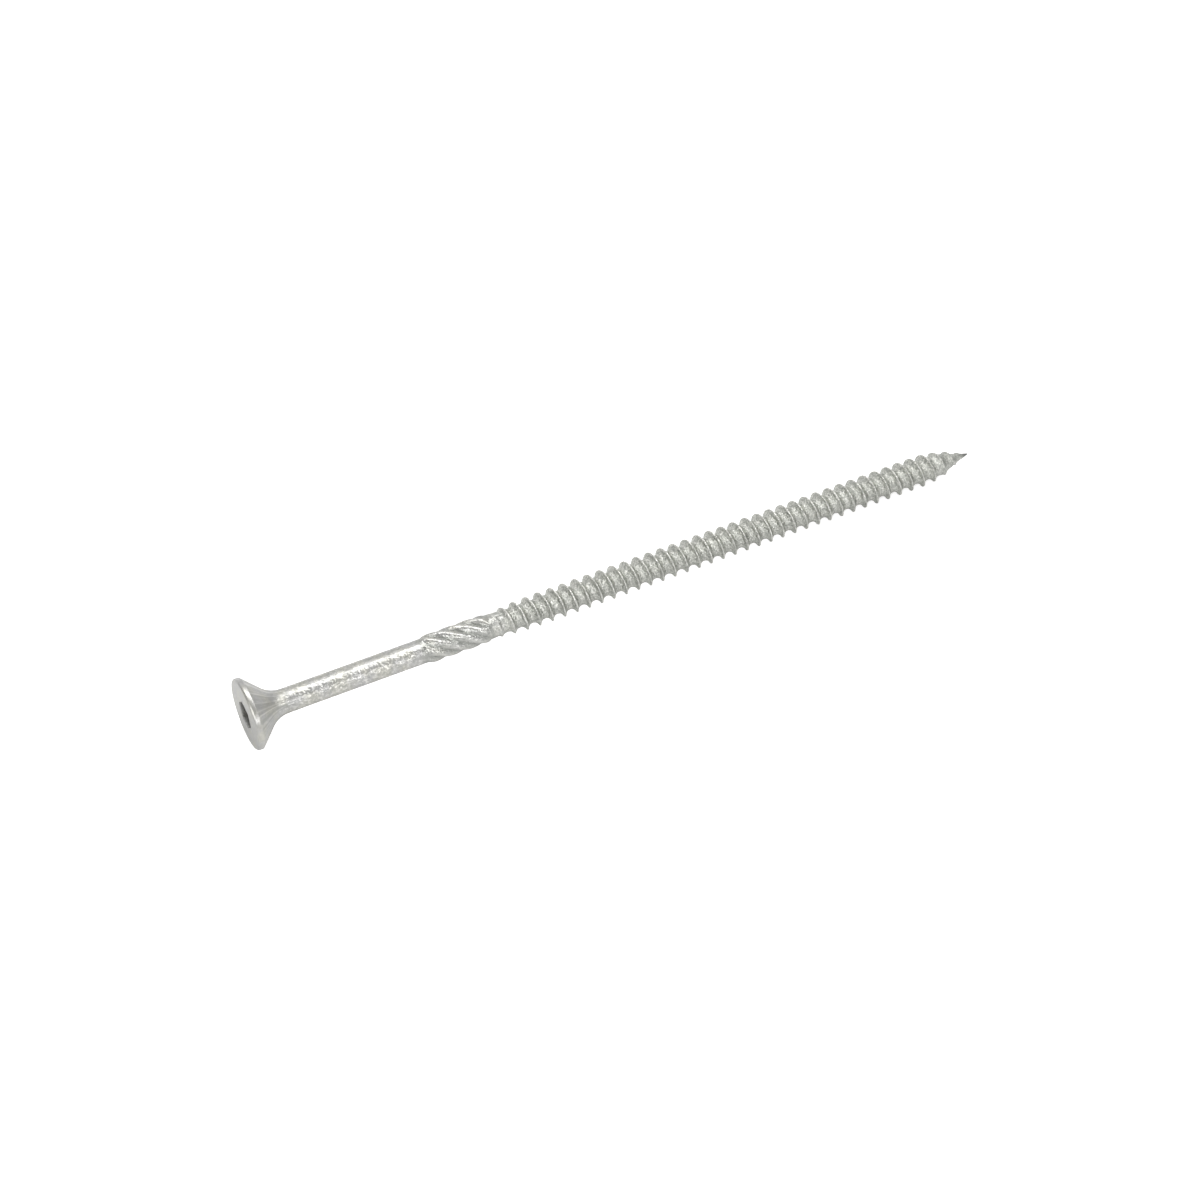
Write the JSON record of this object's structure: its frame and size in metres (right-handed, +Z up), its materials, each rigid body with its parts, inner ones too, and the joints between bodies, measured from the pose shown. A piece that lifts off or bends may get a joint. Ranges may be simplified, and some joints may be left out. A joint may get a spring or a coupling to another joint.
{
  "type": "bugle batten screw",
  "caption": "Long galvanised timber screw with a trumpet-shaped countersunk head, hexagon drive socket, plain shank, steep ribs, coarse right-hand thread and a fluted cutting point.",
  "frame": {"origin": "centre of the base of the screw's box, on the floor that it lies on", "axes": "+X along the screw towards its tip, +Z up; the axis leans down by about 1.6 degrees towards the tip, because the head's band and a thread near the point touch the floor"},
  "size_m": [0.1502, 0.0138, 0.0137],
  "materials": {
    "galvanised_steel": "galvanised zinc, satin, finely lumpy and speckled"
  },
  "bodies": {
    "root": {"screw": "galvanised_steel"}
  },
  "joints": []
}
